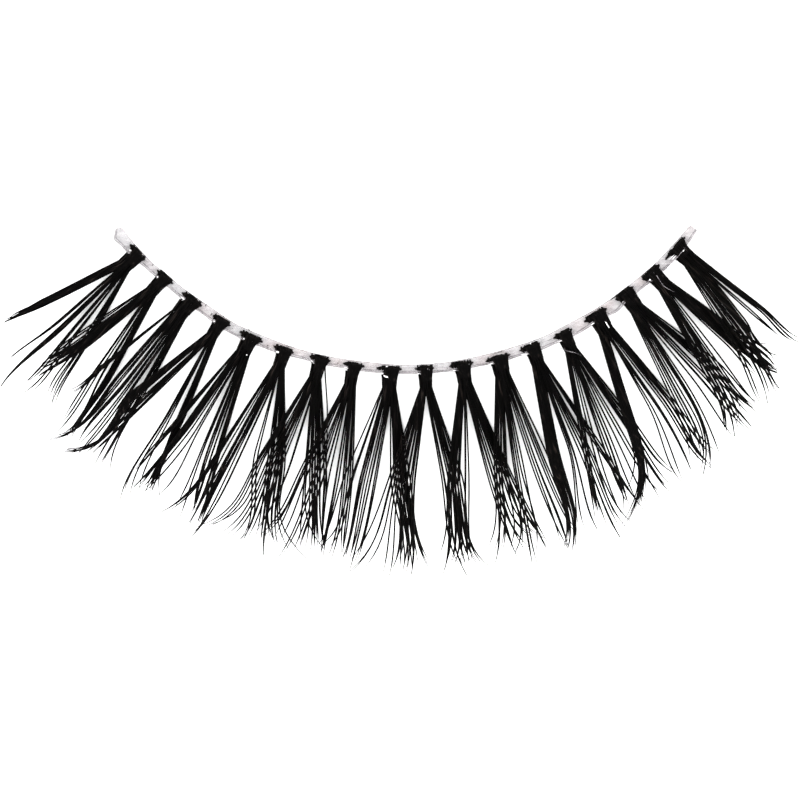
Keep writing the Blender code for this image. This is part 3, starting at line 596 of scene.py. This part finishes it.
class Shape:
    """Vertices and faces that several strands share, for one joined mesh."""

    def __init__(self):
        self.points = []
        self.faces = []

    def add_rings(self, rings):
        """Joins rings of points into one closed tube."""
        base = len(self.points)
        count = len(rings[0])
        for ring in rings:
            self.points.extend(ring)
        for row in range(len(rings) - 1):
            start = base + row * count
            for k in range(count):
                after = (k + 1) % count
                self.faces.append((start + k, start + after, start + count + after, start + count + k))
        last = base + (len(rings) - 1) * count
        self.faces.append(tuple(base + k for k in reversed(range(count))))
        self.faces.append(tuple(last + k for k in range(count)))

    def add_strand(self, route, radii, sides, across):
        """Adds a round strand along a route. across: a direction that the route never follows."""
        rings = []
        for k, point in enumerate(route):
            along = (route[min(k + 1, len(route) - 1)] - route[max(k - 1, 0)]).normalized()
            side = (across - along * across.dot(along)).normalized()
            over = along.cross(side)
            ring = []
            for corner in range(sides):
                turn = math.tau * corner / sides
                ring.append(point + radii[k] * (math.cos(turn) * side + math.sin(turn) * over))
            rings.append(ring)
        self.add_rings(rings)

    def finish(self, name, material, location=(0, 0, 0), turn=0.0):
        """Makes the mesh object, smooth shaded, in its material."""
        mesh = bpy.data.meshes.new(name)
        mesh.from_pydata([tuple(p) for p in self.points], [], self.faces)
        mesh.materials.append(material)
        mesh.polygons.foreach_set("use_smooth", [True] * len(mesh.polygons))
        mesh.update()
        made = bpy.data.objects.new(name, mesh)
        made.location = location
        made.rotation_euler = (0, 0, turn)
        bpy.context.scene.collection.objects.link(made)
        return made


def local(side, outward, height):
    """A point in a cluster's own frame."""
    return Vector((side, -outward, height))


def ground_height(side, outward):
    """How high the lowest layer's underside is, from its distance to the band's centre line."""
    distance = math.hypot(side, LINE_RADIUS + outward) - LINE_RADIUS
    contact = CONTACT_SHARE * LASH_LENGTH
    if distance <= contact:
        return WAIST_LIFT * (1 - distance / contact) ** 2
    return TIP_RISE * ((distance - contact) / (LASH_LENGTH - contact)) ** 2


def fibre_radii(count):
    """A fibre's radius at each point of its free length: slim near the waist, and tapering to its tip."""
    radii = []
    for k in range(count):
        share = k / (count - 1)
        late = max(0.0, (share - TAPER_FROM) / (1 - TAPER_FROM))
        slim = mix(ROOT_SLIM, 1.0, ease(share / SLIM_TO))
        radii.append(FIBRE_RADIUS * slim * max(TAPER_END, 1 - late ** TAPER_POWER))
    return radii


def waist_side(knot, across):
    """How far to the side a fibre is at the waist, from its place across the bundle."""
    return mix(knot.waist_left, knot.waist_right, (across + 1) / 2) * MM


def free_route(lock, knot, across, spread, depth, rng):
    """A fibre's route from the waist to its tip. spread: its place across its lock; depth: in the bundle."""
    root = waist_side(knot, across)
    belly_side = (lock.belly + spread * lock.width / 2) * MM
    late_side = (lock.late + spread * mix(lock.fan, lock.width, LATE_WIDTH_SHARE) / 2) * MM
    reach = lock.reach * MM - rng.uniform(0, TIP_STAGGER) * (lock.fibres > 1)
    wander = rng.uniform(-TIP_WANDER, TIP_WANDER)
    tip_side = (lock.tip + (TIP_SPREAD * spread + wander) * lock.fan / 2) * MM
    late = LATE_PLACE if lock.reach * MM > SHORT_REACH else (BELLY_PLACE + reach) / 2
    slope = (belly_side - root) / (BELLY_PLACE - WAIST_PLACE)
    near = late - BELLY_PLACE
    far = reach - BELLY_PLACE
    near_turn = (late_side - belly_side - slope * near) / near ** 2
    far_turn = (tip_side - belly_side - slope * far) / far ** 2
    hook = (far_turn - near_turn) / (far ** 2 - near ** 2)
    bow = near_turn - hook * near ** 2
    lift = 1 + rng.uniform(-RISE_VARIETY, RISE_VARIETY)
    phase = rng.uniform(0, math.tau)
    route = []
    for step in range(FIBRE_STEPS + 1):
        share = step / FIBRE_STEPS
        outward = mix(WAIST_PLACE, reach + TIP_PAST, share)
        past = max(0.0, outward - BELLY_PLACE)
        side = root + slope * (outward - WAIST_PLACE) + bow * past ** 2 + hook * past ** 4
        side += FIBRE_WAVE * ease(share * WAVE_ONSET) * math.sin(phase + WAVE_TURN * share)
        layered = min(1.0, (outward - WAIST_PLACE) / (LAYERED_SHARE * LASH_LENGTH - WAIST_PLACE))
        thin = mix(LOCK_THICKNESS, TIP_THICKNESS, share)
        thickness = mix(WAIST_THICKNESS, thin, layered) - 2 * FIBRE_RADIUS
        layer = LAYER_PITCH * layered * (1 - across)
        height = ground_height(side, outward) * mix(1.0, lift, ease(share * 2 - 1))
        route.append(local(side, outward, height + layer + FIBRE_RADIUS + max(0.0, thickness) * depth))
    return route


def knot_side(knot, across):
    """How far to the side a fibre is on the knot's crown."""
    return mix(knot.left, knot.right, (CROWN_SPAN * across + 1) / 2) * MM


def knot_route(knot, across, depth):
    """A fibre's route through the knot to the waist: over the band, or from the knot's front lip."""
    waist = waist_side(knot, across)
    crown = knot_side(knot, across)
    front = knot.front * MM
    back = knot.back * MM
    radius = FIBRE_RADIUS
    if depth < LOW_DEPTH:
        low = mix(0.03, 0.12, depth / LOW_DEPTH) * MM
        return [
            local(mix(waist, crown, 0.35), 0.24 * MM, low + radius),
            local(mix(waist, crown, 0.12), 0.40 * MM, low + radius),
        ]
    high = (depth - LOW_DEPTH) / (1 - LOW_DEPTH)
    return [
        local(crown, back + 0.03 * MM, 0.05 * MM),
        local(crown, back + 0.01 * MM, 0.17 * MM),
        local(crown, back + 0.07 * MM, mix(0.24, 0.29, high) * MM),
        local(crown, mix(back, front, 0.55), mix(0.28, 0.34, high) * MM),
        local(mix(crown, waist, 0.30), front, mix(0.24, 0.29, high) * MM),
        local(mix(crown, waist, 0.75), front + 0.12 * MM, mix(0.20, 0.25, high) * MM),
        local(mix(crown, waist, 0.93), front + 0.30 * MM, mix(0.16, 0.25, high) * MM),
    ]


def add_core(shape, knot, rng):
    """The knot's lumpy body under its loops."""
    rings = []
    middle = mix(knot.back, knot.front, 0.5) * MM
    half_depth = (knot.front - knot.back) / 2 * MM - CORE_INSET
    for row in range(CORE_RINGS + 1):
        share = 2 * row / CORE_RINGS - 1
        round_off = math.sqrt(max(0.02, 1 - abs(share) ** CORE_SQUARENESS))
        side = mix(knot.left, knot.right, (share + 1) / 2) * MM
        ring = []
        for corner in range(CORE_SIDES):
            turn = math.tau * corner / CORE_SIDES
            lump = round_off * rng.uniform(*CORE_LUMPS)
            outward = middle + half_depth * lump * math.cos(turn)
            height = CORE_MIDDLE + CORE_HALF_HEIGHT * lump * math.sin(turn)
            ring.append(local(side, outward, height))
        rings.append(ring)
    shape.add_rings(rings)


def add_loops(shape, knot, rng):
    """The loops that wind round the knot's front and back edges from end to end."""
    middle = mix(knot.back, knot.front, 0.45) * MM
    for edge, lowest in ((knot.front, FRONT_LOOP_HEIGHT), (knot.back, BACK_LOOP_HEIGHT)):
        for row in range(LOOP_ROWS):
            reach = edge * MM - math.copysign(LOOP_PITCH * (row + 0.6), edge)
            left = knot.left * MM + rng.uniform(*LOOP_ENDS)
            right = knot.right * MM - rng.uniform(*LOOP_ENDS)
            top = lowest + LOOP_LIFT * row
            bend = rng.uniform(*LOOP_BENDS)
            wobble = rng.uniform(-LOOP_WOBBLE, LOOP_WOBBLE)
            route = []
            for step in range(LOOP_STEPS + 1):
                share = 2 * step / LOOP_STEPS - 1
                bow = 1 - abs(share) ** bend
                side = mix(left, right, (share + 1) / 2)
                outward = mix(middle, reach, bow) + wobble * math.sin(4 * share)
                route.append(local(side, outward, mix(LOOP_FOOT, top, bow ** 0.6)))
            radii = [LOOP_RADIUS * rng.uniform(*LOOP_GIRTHS)] * len(route)
            shape.add_strand(route, radii, FIBRE_SIDES, BACK)


def add_wraps(shape, knot, rng):
    """The fibres that pass over the front threads from the knot's crown into the waist."""
    for row in range(WRAPS):
        across = mix(WRAP_FIRST, WRAP_LAST, row / (WRAPS - 1)) + rng.uniform(-WRAP_JITTER, WRAP_JITTER)
        crown = knot_side(knot, across)
        waist = waist_side(knot, across)
        front = knot.front + rng.uniform(-0.02, 0.02)
        back = mix(knot.back, knot.front, rng.uniform(0.35, 0.6))
        route = [local(crown, back * MM, WRAP_START_HEIGHT)]
        for point in WRAP_POINTS:
            side = mix(crown, waist, point.to_waist)
            route.append(local(side, (front + point.past_front) * MM, point.height * MM))
        route = smooth_route(route, HEAD_STEPS)
        shape.add_strand(route, [FIBRE_RADIUS] * len(route), FIBRE_SIDES, RIGHT)


def drawn_lock(index, place, lock):
    """The lock as it is drawn: narrow ones closer, and every second narrow pair as one fibre."""
    if index + 1 in SOLID_CLUSTERS and place < SOLID_LOCKS:
        return lock
    if lock.fibres == 2 and lock.width <= PAIR_WIDTH and place % 2 == 0:
        return lock._replace(fibres=1, width=0, fan=0)
    if 0 < lock.width <= NARROW_WIDTH:
        return lock._replace(width=max(CLOSEST_WIDTH, lock.width / 2))
    return lock


def rooted_locks(index):
    """A cluster's locks, each with where its middle leaves the waist, from -1 to 1."""
    rooted = []
    for leg in LEGS:
        if leg.cluster != index + 1:
            continue
        locks = [Lock(*row) for row in leg.locks]
        held = sum(lock.fibres for lock in locks)
        done = 0
        for lock in locks:
            root = mix(leg.first, leg.last, (done + lock.fibres / 2) / held)
            done += lock.fibres
            rooted.append((root, drawn_lock(index, len(rooted), lock)))
    return rooted


def make_tuft(index, finish):
    """All the fibres of one cluster and the knot that they are wound into, as one mesh."""
    knot = KNOTS[index]
    rng = random.Random(100 + index)
    shape = Shape()
    locks = rooted_locks(index)
    total = sum(lock.fibres for root, lock in locks)
    for root, lock in locks:
        for number in range(lock.fibres):
            spread = 0.0 if lock.fibres == 1 else 2 * number / (lock.fibres - 1) - 1
            if lock.fibres > 1:
                spread += rng.uniform(-1, 1) * SPREAD_JITTER / (lock.fibres - 1)
            across = root + spread * LOCK_CROWDING * lock.fibres / total
            across = min(1.0, max(-1.0, across))
            depth = rng.random()
            start = knot_route(knot, across, depth)
            free = free_route(lock, knot, across, spread, depth, rng)
            head = smooth_route([*start, free[0]], HEAD_STEPS)[:-1]
            route = head + free
            radii = [FIBRE_RADIUS] * len(head) + fibre_radii(len(free))
            shape.add_strand(route, radii, FIBRE_SIDES, RIGHT)
    add_core(shape, knot, rng)
    add_loops(shape, knot, rng)
    add_wraps(shape, knot, rng)
    angle = knot_angle(index)
    tuft = shape.finish(f"lash_tuft_{index + 1:02d}", finish, arc_point(angle, 0.0, 0.0), angle)
    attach(tuft, "root")
    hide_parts(f"lash_cluster_{index + 1:02d}")


def film_edges(place):
    """The film's back and front edge at a place along the band, in metres from the centre line."""
    rows = FILM_PLACES
    if place <= rows[0].at:
        return rows[0].back * MM, rows[0].front * MM
    for low, high in zip(rows, rows[1:]):
        if place <= high.at:
            share = ease((place - low.at) / (high.at - low.at))
            return mix(low.back, high.back, share) * MM, mix(low.front, high.front, share) * MM
    return rows[-1].back * MM, rows[-1].front * MM


def film_places(step):
    """Evenly spaced places along the film, counted in knots from the first one."""
    first = FILM_PLACES[0].at
    last = FILM_PLACES[-1].at
    count = math.ceil((last - first) * KNOT_PITCH / step)
    return [mix(first, last, k / count) for k in range(count + 1)]


def make_film(finish):
    """The clear band: a thin uneven film, thickest along its middle."""
    rng = random.Random(5)
    shape = Shape()
    rings = []
    for place in film_places(FILM_STEP):
        back, front = film_edges(place)
        angle = angle_at(place)
        back += rng.uniform(-FILM_JITTER, FILM_JITTER)
        front += rng.uniform(-FILM_JITTER, FILM_JITTER)
        ring = []
        for step in range(-FILM_HALF_STEPS, FILM_HALF_STEPS + 1):
            share = step / FILM_HALF_STEPS
            outward = mix(back, front, (math.sin(share * math.pi / 2) + 1) / 2)
            height = mix(FILM_EDGE, RIBBON_TOP, math.cos(share * math.pi / 2) ** 0.7)
            ring.append(arc_point(angle, outward, height * rng.uniform(*FILM_DIPS)))
        ring.append(arc_point(angle, mix(back, front, 0.97), 0.0))
        ring.append(arc_point(angle, mix(back, front, 0.03), 0.0))
        rings.append(ring)
    shape.add_rings(rings)
    film = shape.finish("clear_band", finish)
    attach(film, "root")
    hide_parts("band_ribbon")


def over_knots(place):
    """How far a thread is lifted over the nearest knot, from 0 between knots to 1 on one."""
    nearest = max(0, min(len(KNOTS) - 1, round(place)))
    gap = abs(angle_at(place) - knot_angle(nearest)) * LINE_RADIUS
    return ease(1 - (gap - KNOT_HALF_LENGTH) / THREAD_CLIMB)


def make_front_thread(number, inset, finish):
    """A clear thread along the film's front edge that climbs over each knot's front."""
    rng = random.Random(20 + number)
    phase = rng.uniform(0, 6)
    route = []
    radii = []
    for place in film_places(THREAD_STEP):
        back, front = film_edges(place)
        wobble = THREAD_WOBBLE * math.sin(phase + FRONT_THREAD_TURN * place)
        outward = front - inset + wobble + rng.uniform(-THREAD_JITTER, THREAD_JITTER)
        height = mix(THREAD_OVER_FILM, THREAD_OVER_KNOT, over_knots(place))
        route.append(arc_point(angle_at(place), outward, height))
        radii.append(THREAD_RADIUS * rng.uniform(*FRONT_THREAD_GIRTHS))
    shape = Shape()
    shape.add_strand(route, radii, THREAD_SIDES, UP)
    thread = shape.finish(f"front_thread_{number}", finish)
    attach(thread, "root")
    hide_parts(f"lower_filament_{number}")


def make_back_thread(finish):
    """The clear thread along the film's back edge."""
    rng = random.Random(30)
    route = []
    radii = []
    for place in film_places(THREAD_STEP):
        back, front = film_edges(place)
        outward = back - BACK_THREAD_WOBBLE * math.sin(BACK_THREAD_TURN * place)
        route.append(arc_point(angle_at(place), outward, BACK_THREAD_HEIGHT))
        radii.append(THREAD_RADIUS * rng.uniform(*BACK_THREAD_GIRTHS))
    shape = Shape()
    shape.add_strand(route, radii, THREAD_SIDES, UP)
    thread = shape.finish("back_thread", finish)
    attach(thread, "root")
    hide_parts("upper_filament")


def add_blob(shape, centre, turn, half_length, half_width, half_height):
    """A smooth drop, its length turned this far from the view's right."""
    along = along_axis(turn)
    across = across_axis(turn)
    rings = []
    for row in range(DROP_STEPS + 1):
        share = math.sin(math.pi / 2 * (2 * row / DROP_STEPS - 1))
        girth = math.sqrt(max(0.01, 1 - share * share))
        ring = []
        for corner in range(DROP_STEPS):
            round_turn = math.tau * corner / DROP_STEPS
            ring.append(
                centre
                + along * half_length * share
                + across * half_width * girth * math.cos(round_turn)
                + Vector((0, 0, half_height * girth * math.sin(round_turn)))
            )
        rings.append(ring)
    shape.add_rings(rings)


def make_glints(finish):
    """White drops of painted highlight where the knots and threads glint, and where the table shows between
    the fibres.
    """
    shape = Shape()
    for glint in GLINTS:
        angle = knot_angle(glint.knot - 1)
        turn = angle - math.radians(glint.tilt)
        centre = arc_point(angle, glint.outward * MM, PAINTED_GLINT_HEIGHT) + along_axis(angle) * glint.side * MM
        half_length = glint.length / 2 * MM
        half_width = glint.width / 2 * MM
        add_blob(shape, centre, turn, half_length, half_width, PAINTED_GLINT_HALF_HEIGHT)
    made = shape.finish("painted_glint_drops", finish)
    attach(made, "root")


def make_specks(finish):
    """The dark ends of fibre caught in the film, and painted shade where the back thread looks dark."""
    shape = Shape()
    for speck in SPECKS:
        angle = angle_at(speck.at)
        centre = arc_point(angle, speck.outward * MM, SPECK_PLACE)
        half_length = speck.length / 2 * MM
        half_width = speck.width / 2 * MM
        add_blob(shape, centre, angle, half_length, half_width, SPECK_HALF_HEIGHT)
    made = shape.finish("fibre_ends_and_painted_thread_shade", finish)
    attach(made, "root")


def make_strands(clear, finish):
    """The single strands that run apart from the locks."""
    shape = Shape()
    for strand in STRANDS:
        if strand.clear != clear:
            continue
        angle = knot_angle(strand.knot - 1)
        right = along_axis(angle)
        points = []
        for side, outward, height in strand.route:
            points.append(arc_point(angle, outward * MM, height * MM) + right * side * MM)
        route = smooth_route(points, 6)
        radii = []
        for k in range(len(route)):
            share = k / (len(route) - 1)
            radii.append(strand.radius * MM * max(0.3, 1 - share ** 3))
        shape.add_strand(route, radii, THREAD_SIDES, UP)
    made = shape.finish("stray_threads" if clear else "stray_fibres", finish)
    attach(made, "root")


def new_material(name):
    """A new node material and its shader."""
    made = bpy.data.materials.new(name)
    made.use_nodes = True
    return made, made.node_tree, made.node_tree.nodes["Principled BSDF"]


def noise(tree, scale, detail, stretch):
    """A noise texture in the piece's own frame, stretched along its axes."""
    nodes = tree.nodes
    place = nodes.new("ShaderNodeTexCoord")
    mapping = nodes.new("ShaderNodeMapping")
    mapping.inputs["Scale"].default_value = stretch
    texture = nodes.new("ShaderNodeTexNoise")
    texture.inputs["Scale"].default_value = scale
    texture.inputs["Detail"].default_value = detail
    tree.links.new(place.outputs["Object"], mapping.inputs["Vector"])
    tree.links.new(mapping.outputs["Vector"], texture.inputs["Vector"])
    return texture.outputs["Fac"]


def colour_by(tree, shader, factor, stops):
    """Colours the surface by a factor, with (place, colour) stops."""
    node = tree.nodes.new("ShaderNodeValToRGB")
    elements = node.color_ramp.elements
    elements[0].position, elements[0].color = stops[0][0], (*stops[0][1], 1)
    elements[1].position, elements[1].color = stops[-1][0], (*stops[-1][1], 1)
    for place, colour in stops[1:-1]:
        elements.new(place).color = (*colour, 1)
    tree.links.new(factor, node.inputs["Fac"])
    tree.links.new(node.outputs["Color"], shader.inputs["Base Color"])


def vary(tree, shader, setting, factor, low, high):
    """Makes a setting of the shader follow a factor, from low to high."""
    node = tree.nodes.new("ShaderNodeMapRange")
    node.inputs["From Min"].default_value = 0.3
    node.inputs["From Max"].default_value = 0.7
    node.inputs["To Min"].default_value = low
    node.inputs["To Max"].default_value = high
    tree.links.new(factor, node.inputs["Value"])
    tree.links.new(node.outputs["Result"], shader.inputs[setting])


def bump(tree, shader, factor, distance, strength):
    """Raises the surface a little by a factor."""
    node = tree.nodes.new("ShaderNodeBump")
    node.inputs["Distance"].default_value = distance
    node.inputs["Strength"].default_value = strength
    tree.links.new(factor, node.inputs["Height"])
    tree.links.new(node.outputs["Normal"], shader.inputs["Normal"])


def fibre_finish():
    """Near-black fibre with faint lighter brown streaks along its length, painted sheen in place of its
    gloss.
    """
    made, tree, shader = new_material("black_fibre")
    painted_sheen_streaks = noise(tree, 1.0, 2.0, (9000, 500, 9000))
    # Painted sheen: the lighter streaks stand in for the highlights along the fibres, whose own gloss is set
    # very low.
    colour_by(tree, shader, painted_sheen_streaks, (
        (0.35, (0.0009, 0.0008, 0.0008)), (0.60, (0.0018, 0.0016, 0.0016)), (0.78, (0.022, 0.017, 0.015)),
    ))
    vary(tree, shader, "Roughness", painted_sheen_streaks, 0.42, 0.60)
    shader.inputs["Specular IOR Level"].default_value = 0.011
    bump(tree, shader, noise(tree, 1.0, 1.0, (20000, 2500, 20000)), 0.004 * MM, 0.5)
    return made


def film_finish():
    """The band's clear film: pale and milky, faintly pink in places, with fine streaks along it."""
    made, tree, shader = new_material("clear_film")
    tint = noise(tree, 1.0, 2.0, (350, 350, 350))
    colour_by(tree, shader, tint, (
        (0.38, (0.29, 0.28, 0.29)), (0.50, (0.29, 0.265, 0.275)), (0.62, (0.32, 0.27, 0.27)),
    ))
    cloud = noise(tree, 1.0, 4.0, (2200, 5200, 2200))
    vary(tree, shader, "Alpha", cloud, 0.22, 0.48)
    shader.inputs["Roughness"].default_value = 0.28
    bump(tree, shader, noise(tree, 1.0, 2.0, (1800, 4000, 1800)), 0.02 * MM, 0.6)
    return made


def thread_finish():
    """A clear thread: glossy, with a grey that is partly painted shade, the dark line a clear edge shows
    where it bends the light.
    """
    made, tree, shader = new_material("clear_thread")
    cloud = noise(tree, 1.0, 2.0, (2600, 2600, 2600))
    # Painted shade: the dark grey of the clear threads stands in for the dark line that refraction draws
    # along the film's edges.
    colour_by(tree, shader, cloud, ((0.40, (0.10, 0.09, 0.10)), (0.60, (0.30, 0.28, 0.29))))
    vary(tree, shader, "Alpha", cloud, 0.35, 0.60)
    shader.inputs["Roughness"].default_value = 0.15
    return made


def painted_glint_finish():
    """Near-white, glossy and mostly opaque: the colour of the painted highlights."""
    made, tree, shader = new_material("painted_glint_white")
    cloud = noise(tree, 1.0, 2.0, (5000, 5000, 5000))
    colour_by(tree, shader, cloud, ((0.35, (0.70, 0.68, 0.69)), (0.65, (0.95, 0.95, 0.95))))
    vary(tree, shader, "Alpha", cloud, 0.75, 0.95)
    shader.inputs["Roughness"].default_value = 0.12
    return made


def floor_finish():
    """A plain white table."""
    made, tree, shader = new_material("white_table")
    shader.inputs["Base Color"].default_value = (0.90, 0.90, 0.90, 1)
    shader.inputs["Roughness"].default_value = 0.9
    shader.inputs["Specular IOR Level"].default_value = 0.1
    return made


def make_floor():
    """The table that the strip lies on."""
    half = FLOOR_SIZE / 2
    mesh = bpy.data.meshes.new("table")
    corners = [(-half, -half, 0), (half, -half, 0), (half, half, 0), (-half, half, 0)]
    mesh.from_pydata(corners, [], [(0, 1, 2, 3)])
    mesh.materials.append(floor_finish())
    floor = bpy.data.objects.new("table", mesh)
    floor.location.z = -FLOOR_GAP
    bpy.context.scene.collection.objects.link(floor)


def make_camera():
    """A long lens straight above the strip, in the photograph's frame."""
    data = bpy.data.cameras.new("camera")
    data.lens = LENS
    data.sensor_width = SENSOR
    distance = VIEW_WIDTH * LENS / SENSOR
    data.clip_start = distance * 0.1
    data.clip_end = distance * 10
    camera = bpy.data.objects.new("camera", data)
    camera.location = (VIEW_CENTRE_X, VIEW_CENTRE_Y, FOCUS_HEIGHT + distance)
    bpy.context.scene.collection.objects.link(camera)
    bpy.context.scene.camera = camera


def make_light():
    """Light from a bright tent all round, with a dim round opening overhead."""
    world = bpy.data.worlds.new("tent")
    world.use_nodes = True
    tree = world.node_tree
    direction = tree.nodes.new("ShaderNodeTexCoord")
    parts = tree.nodes.new("ShaderNodeSeparateXYZ")
    fade = tree.nodes.new("ShaderNodeMapRange")
    fade.inputs["From Min"].default_value = OPENING_EDGE
    fade.inputs["From Max"].default_value = OPENING_MIDDLE
    fade.inputs["To Min"].default_value = TENT_LIGHT
    fade.inputs["To Max"].default_value = OPENING_LIGHT
    tree.links.new(direction.outputs["Generated"], parts.inputs["Vector"])
    tree.links.new(parts.outputs["Z"], fade.inputs["Value"])
    background = tree.nodes["Background"]
    background.inputs["Color"].default_value = (1, 1, 1, 1)
    tree.links.new(fade.outputs["Result"], background.inputs["Strength"])
    bpy.context.scene.world = world
    bpy.context.scene.view_settings.view_transform = "Standard"


def main():
    make_camera()
    make_light()
    make_floor()
    fibre = fibre_finish()
    thread = thread_finish()
    make_film(film_finish())
    make_back_thread(thread)
    for number, inset in enumerate(FRONT_THREAD_INSETS, 1):
        make_front_thread(number, inset, thread)
    for index in range(len(KNOTS)):
        make_tuft(index, fibre)
    make_strands(False, fibre)
    make_strands(True, thread)
    make_specks(fibre)
    make_glints(painted_glint_finish())


main()
